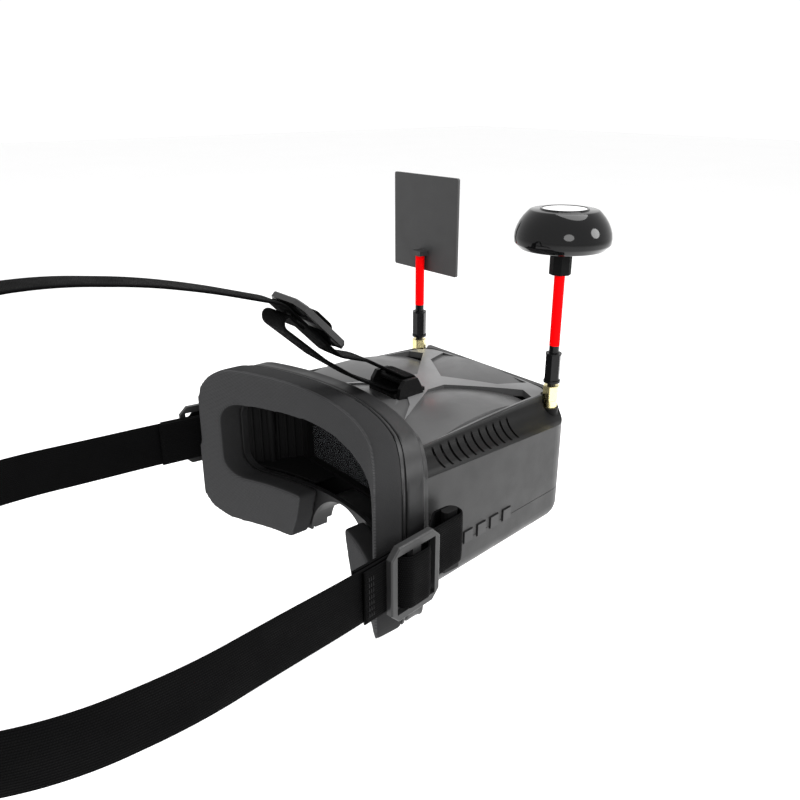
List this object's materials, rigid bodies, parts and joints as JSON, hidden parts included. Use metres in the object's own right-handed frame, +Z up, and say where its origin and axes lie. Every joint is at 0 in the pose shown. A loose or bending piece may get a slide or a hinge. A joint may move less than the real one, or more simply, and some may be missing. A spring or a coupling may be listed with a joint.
{
  "type": "video goggles",
  "caption": "Box-shaped video goggles with a curved foam face seal, adjustable head straps, corner antennas and side buttons, worn to watch a flying model's camera.",
  "frame": {"origin": "middle of the foam's face side, where the goggles meet the wearer's face", "axes": "+X to the wearer's right, +Y forward, away from the face, +Z up"},
  "size_m": [0.2074, 0.3798, 0.1919],
  "materials": {
    "red_rubber": "smooth, slightly glossy",
    "cell_wrap": "shrink wrap",
    "inner_plastic": "fine matte",
    "webbing": "woven",
    "buckle_plastic": "satin moulded",
    "button_plastic": "satin moulded",
    "board": "solder mask",
    "steel": "plain",
    "gold": "pale gold plating",
    "sleeve_black": "satin",
    "screen": "polished",
    "flange_rubber": "matte",
    "foam": "knitted cloth over foam",
    "lens": "moulded",
    "shell": "fine moulded grain",
    "dome_gloss": "glossy",
    "plug_grey": "satin",
    "patch_black": "satin",
    "jack_black": "satin",
    "rear_fabric": "sewn patch",
    "receiver_can": "tinned can",
    "cover": "satin moulded"
  },
  "bodies": {
    "goggles": {"battery_cells": "cell_wrap", "battery_tray": "inner_plastic", "button_board": "board", "case_screws": "steel", "display_bracket": "inner_plastic", "display_panel": "screen", "eye_shroud": "inner_plastic", "face_flange": "flange_rubber", "face_foam": "foam", "fresnel_lens": "lens", "jack_board": "board", "lens_frame": "inner_plastic", "lower_shell": "shell", "main_board": "board", "power_jack": "jack_black", "rear_patch": "rear_fabric", "receiver_left": "receiver_can", "receiver_right": "receiver_can", "side_strap_left": "webbing", "side_strap_right": "webbing", "socket_left": "gold", "socket_right": "gold", "strap_lug_left": "shell", "strap_lug_right": "shell", "strap_lug_top": "cover", "tact_switches": "jack_black", "top_cover": "cover", "top_strap": "webbing", "upper_shell": "shell", "video_jack": "jack_black"},
    "antenna_left": {"crimp_sleeve_left": "sleeve_black", "antenna_stem_left": "red_rubber", "patch_plate": "patch_black", "patch_block": "patch_black"},
    "antenna_right": {"crimp_sleeve_right": "sleeve_black", "antenna_stem_right": "red_rubber", "mushroom_collar": "inner_plastic", "mushroom_dome": "dome_gloss", "mushroom_plug": "plug_grey"},
    "nut_left": {"coupling_nut_left": "gold"},
    "nut_right": {"coupling_nut_right": "gold"},
    "key_1": {"button_1": "button_plastic"},
    "key_2": {"button_2": "button_plastic"},
    "key_3": {"button_3": "button_plastic"},
    "key_4": {"button_4": "button_plastic"},
    "adjuster_right": {"buckle_right": "buckle_plastic", "bight_right": "webbing"},
    "adjuster_left": {"buckle_left": "buckle_plastic", "bight_left": "webbing"},
    "adjuster_top": {"buckle_top": "buckle_plastic", "bight_top": "webbing"}
  },
  "joints": [
    {"name": "antenna_left_swivel", "type": "hinge", "parent": "goggles", "child": "antenna_left", "pos_m": [-0.055, 0.1149, 0.05], "axis": [0, 0, 1], "continuous": true},
    {"name": "nut_left_spin", "type": "hinge", "parent": "goggles", "child": "nut_left", "pos_m": [-0.055, 0.1149, 0.034], "axis": [0, 0, 1], "continuous": true},
    {"name": "antenna_right_swivel", "type": "hinge", "parent": "goggles", "child": "antenna_right", "pos_m": [0.055, 0.1149, 0.05], "axis": [0, 0, 1], "continuous": true},
    {"name": "nut_right_spin", "type": "hinge", "parent": "goggles", "child": "nut_right", "pos_m": [0.055, 0.1149, 0.034], "axis": [0, 0, 1], "continuous": true},
    {"name": "button_1_press", "type": "slide", "parent": "goggles", "child": "key_1", "axis": [-0.9954, -0.0956, 0], "range_m": [0, 0.0005], "stiffness_N_per_m": 800},
    {"name": "button_2_press", "type": "slide", "parent": "goggles", "child": "key_2", "axis": [-0.9954, -0.0956, 0], "range_m": [0, 0.0005], "stiffness_N_per_m": 800},
    {"name": "button_3_press", "type": "slide", "parent": "goggles", "child": "key_3", "axis": [-0.9954, -0.0956, 0], "range_m": [0, 0.0005], "stiffness_N_per_m": 800},
    {"name": "button_4_press", "type": "slide", "parent": "goggles", "child": "key_4", "axis": [-0.9954, -0.0956, 0], "range_m": [0, 0.0005], "stiffness_N_per_m": 800},
    {"name": "buckle_right_slide", "type": "slide", "parent": "goggles", "child": "adjuster_right", "axis": [0.1219, -0.9925, 0], "range_m": [-0.008, 0.009]},
    {"name": "buckle_left_slide", "type": "slide", "parent": "goggles", "child": "adjuster_left", "axis": [-0.1219, -0.9925, 0], "range_m": [-0.008, 0.009]},
    {"name": "buckle_top_slide", "type": "slide", "parent": "goggles", "child": "adjuster_top", "axis": [0, -0.6947, 0.7193], "range_m": [-0.003, 0.005]}
  ]
}
